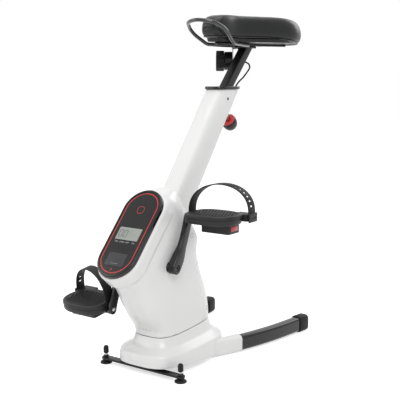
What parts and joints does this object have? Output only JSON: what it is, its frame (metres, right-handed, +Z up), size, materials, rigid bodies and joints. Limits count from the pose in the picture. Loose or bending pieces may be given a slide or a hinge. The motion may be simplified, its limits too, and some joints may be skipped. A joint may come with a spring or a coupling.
{
  "type": "desk exercise bike",
  "caption": "Slim desk exercise bike: white body with a tilted display, cranks with strapped pedals, a leaning column with a height-adjustable saddle, levelling feet and splayed rear legs.",
  "frame": {"origin": "on the floor, under the middle of the machine's bounding box", "axes": "+X to the rider's left, +Y from the display towards the back of the saddle, +Z up"},
  "size_m": [0.4616, 0.7495, 0.884],
  "materials": {
    "base_cover_white_shell": "glossy white moulded shell",
    "main_frame_black_paint": "satin black painted steel",
    "leg_tube_left_black_gloss": "gloss black painted tube",
    "leg_tube_right_black_gloss": "gloss black painted tube",
    "leg_sleeve_left_white_shell": "white painted sleeve",
    "leg_sleeve_right_white_shell": "white painted sleeve",
    "leg_cap_left_black_rubber": "black rubber cap",
    "leg_cap_right_black_rubber": "black rubber cap",
    "front_foot_bar_black_paint": "satin black painted steel",
    "casing_left_white_shell": "glossy white moulded shell",
    "casing_right_white_shell": "glossy white moulded shell",
    "display_bezel_black_gloss": "gloss black moulding",
    "display_panel_black_gloss": "gloss black moulding",
    "display_window_window": "grey-green display window",
    "display_board_board": "circuit board",
    "column_cover_white_shell": "glossy white moulded shell",
    "column_collar_black_gloss": "gloss black moulding",
    "crank_bearing_steel": "bright steel",
    "drive_belt_black_rubber": "matt black rubber",
    "lock_barrel_steel": "bright steel",
    "crank_axle_steel": "bright steel",
    "drive_pulley_grey_plastic": "dark grey plastic",
    "crank_left_black_gloss": "gloss black painted cast arm",
    "crank_right_black_gloss": "gloss black painted cast arm",
    "crank_bolt_left_steel": "bright steel",
    "crank_bolt_right_steel": "bright steel",
    "pedal_spindle_left_steel": "bright steel",
    "pedal_spindle_right_steel": "bright steel",
    "pedal_body_left_pedal_plastic": "dark grey moulded plastic",
    "pedal_tread_left_black_rubber": "matt black rubber",
    "pedal_strap_left_black_rubber": "matt black rubber",
    "pedal_buckle_left_pedal_plastic": "dark grey moulded plastic",
    "pedal_reflector_left_red_plastic": "red plastic",
    "pedal_body_right_pedal_plastic": "dark grey moulded plastic",
    "pedal_tread_right_black_rubber": "matt black rubber",
    "pedal_strap_right_black_rubber": "matt black rubber",
    "pedal_buckle_right_pedal_plastic": "dark grey moulded plastic",
    "pedal_reflector_right_red_plastic": "red plastic",
    "flywheel_cast_iron": "dark cast iron",
    "flywheel_shaft_steel": "bright steel",
    "brake_arm_grey_plastic": "dark grey plastic",
    "brake_magnets_steel": "bright steel",
    "seat_post_black_paint": "satin black painted steel",
    "saddle_clamp_black_paint": "satin black painted steel",
    "saddle_rails_black_paint": "satin black painted steel",
    "saddle_pan_black_gloss": "gloss black moulding",
    "saddle_cushion_vinyl": "black padded vinyl",
    "grip_bar_black_gloss": "gloss black painted tube",
    "dial_plate_steel": "bright steel",
    "dial_base_black_gloss": "gloss black moulding",
    "tension_cable_black_rubber": "matt black rubber",
    "tension_knob_black_rubber": "matt black rubber",
    "lock_pin_steel": "bright steel",
    "lock_insert_red_plastic": "red plastic",
    "lock_knob_black_gloss": "gloss black moulding",
    "display_button_grey_plastic": "dark grey plastic",
    "levelling_foot_left_black_rubber": "black rubber cap",
    "foot_cap_left_black_rubber": "black rubber cap",
    "levelling_foot_right_black_rubber": "black rubber cap",
    "foot_cap_right_black_rubber": "black rubber cap"
  },
  "bodies": {
    "base": {"base_cover": "base_cover_white_shell", "main_frame": "main_frame_black_paint", "leg_tube_left": "leg_tube_left_black_gloss", "leg_tube_right": "leg_tube_right_black_gloss", "leg_sleeve_left": "leg_sleeve_left_white_shell", "leg_sleeve_right": "leg_sleeve_right_white_shell", "leg_cap_left": "leg_cap_left_black_rubber", "leg_cap_right": "leg_cap_right_black_rubber", "front_foot_bar": "front_foot_bar_black_paint", "casing_left": "casing_left_white_shell", "casing_right": "casing_right_white_shell", "display_bezel": "display_bezel_black_gloss", "display_panel": "display_panel_black_gloss", "display_window": "display_window_window", "display_board": "display_board_board", "column_cover": "column_cover_white_shell", "column_collar": "column_collar_black_gloss", "crank_bearing": "crank_bearing_steel", "drive_belt": "drive_belt_black_rubber", "lock_barrel": "lock_barrel_steel"},
    "crank": {"crank_axle": "crank_axle_steel", "drive_pulley": "drive_pulley_grey_plastic", "crank_left": "crank_left_black_gloss", "crank_right": "crank_right_black_gloss", "crank_bolt_left": "crank_bolt_left_steel", "crank_bolt_right": "crank_bolt_right_steel", "pedal_spindle_left": "pedal_spindle_left_steel", "pedal_spindle_right": "pedal_spindle_right_steel"},
    "pedal_left": {"pedal_body_left": "pedal_body_left_pedal_plastic", "pedal_tread_left": "pedal_tread_left_black_rubber", "pedal_strap_left": "pedal_strap_left_black_rubber", "pedal_buckle_left": "pedal_buckle_left_pedal_plastic", "pedal_reflector_left": "pedal_reflector_left_red_plastic"},
    "pedal_right": {"pedal_body_right": "pedal_body_right_pedal_plastic", "pedal_tread_right": "pedal_tread_right_black_rubber", "pedal_strap_right": "pedal_strap_right_black_rubber", "pedal_buckle_right": "pedal_buckle_right_pedal_plastic", "pedal_reflector_right": "pedal_reflector_right_red_plastic"},
    "flywheel": {"flywheel": "flywheel_cast_iron", "flywheel_shaft": "flywheel_shaft_steel"},
    "brake_arm": {"brake_arm": "brake_arm_grey_plastic", "brake_magnets": "brake_magnets_steel"},
    "seat": {"seat_post": "seat_post_black_paint", "saddle_clamp": "saddle_clamp_black_paint", "saddle_rails": "saddle_rails_black_paint", "saddle_pan": "saddle_pan_black_gloss", "saddle_cushion": "saddle_cushion_vinyl", "grip_bar": "grip_bar_black_gloss", "dial_plate": "dial_plate_steel", "dial_base": "dial_base_black_gloss", "tension_cable": "tension_cable_black_rubber"},
    "tension_knob": {"tension_knob": "tension_knob_black_rubber"},
    "lock_pin": {"lock_pin": "lock_pin_steel", "lock_insert": "lock_insert_red_plastic", "lock_knob": "lock_knob_black_gloss"},
    "display_button": {"display_button": "display_button_grey_plastic"},
    "foot_left": {"levelling_foot_left": "levelling_foot_left_black_rubber", "foot_cap_left": "foot_cap_left_black_rubber"},
    "foot_right": {"levelling_foot_right": "levelling_foot_right_black_rubber", "foot_cap_right": "foot_cap_right_black_rubber"}
  },
  "joints": [
    {"name": "crank_spin", "type": "hinge", "parent": "base", "child": "crank", "pos_m": [0, -0.2173, 0.268], "axis": [1, 0, 0], "continuous": true},
    {"name": "pedal_left_spin", "type": "hinge", "parent": "crank", "child": "pedal_left", "pos_m": [0.0755, -0.16019, 0.38255], "axis": [1, 0, 0], "continuous": true},
    {"name": "pedal_right_spin", "type": "hinge", "parent": "crank", "child": "pedal_right", "pos_m": [-0.0755, -0.27441, 0.15345], "axis": [1, 0, 0], "continuous": true},
    {"name": "flywheel_spin", "type": "hinge", "parent": "base", "child": "flywheel", "pos_m": [0, -0.1313, 0.172], "axis": [1, 0, 0], "continuous": true},
    {"name": "seat_height", "type": "slide", "parent": "base", "child": "seat", "axis": [0, 0.682, 0.7314], "range_m": [-0.03, 0.15], "deforming": ["tension_cable"]},
    {"name": "tension_turn", "type": "hinge", "parent": "seat", "child": "tension_knob", "pos_m": [-0.0527, 0.19111, 0.7675], "axis": [-0.8192, -0.5736, 0], "range_deg": [0, 270]},
    {"name": "brake_swing", "type": "hinge", "parent": "base", "child": "brake_arm", "pos_m": [0, -0.18369, 0.23443], "axis": [-1, 0, 0], "range_deg": [0, 2.6]},
    {"name": "lock_pull", "type": "slide", "parent": "base", "child": "lock_pin", "axis": [0, 0.7314, -0.682], "range_m": [0, 0.01], "stiffness_N_per_m": 800, "springref_m": -0.004},
    {"name": "button_press", "type": "slide", "parent": "base", "child": "display_button", "axis": [0, 0.7431, -0.6691], "range_m": [0, 0.001], "stiffness_N_per_m": 1500, "springref_m": -0.001},
    {"name": "foot_left_turn", "type": "hinge", "parent": "base", "child": "foot_left", "pos_m": [0.118, -0.2513, 0.012], "axis": [0, 0, 1], "continuous": true},
    {"name": "foot_right_turn", "type": "hinge", "parent": "base", "child": "foot_right", "pos_m": [-0.118, -0.2513, 0.012], "axis": [0, 0, 1], "continuous": true}
  ],
  "couplings": [
    {"joint": "flywheel_spin", "follows": "crank_spin", "ratio": 6.64},
    {"joint": "brake_swing", "follows": "tension_turn", "ratio": 0.009259}
  ]
}
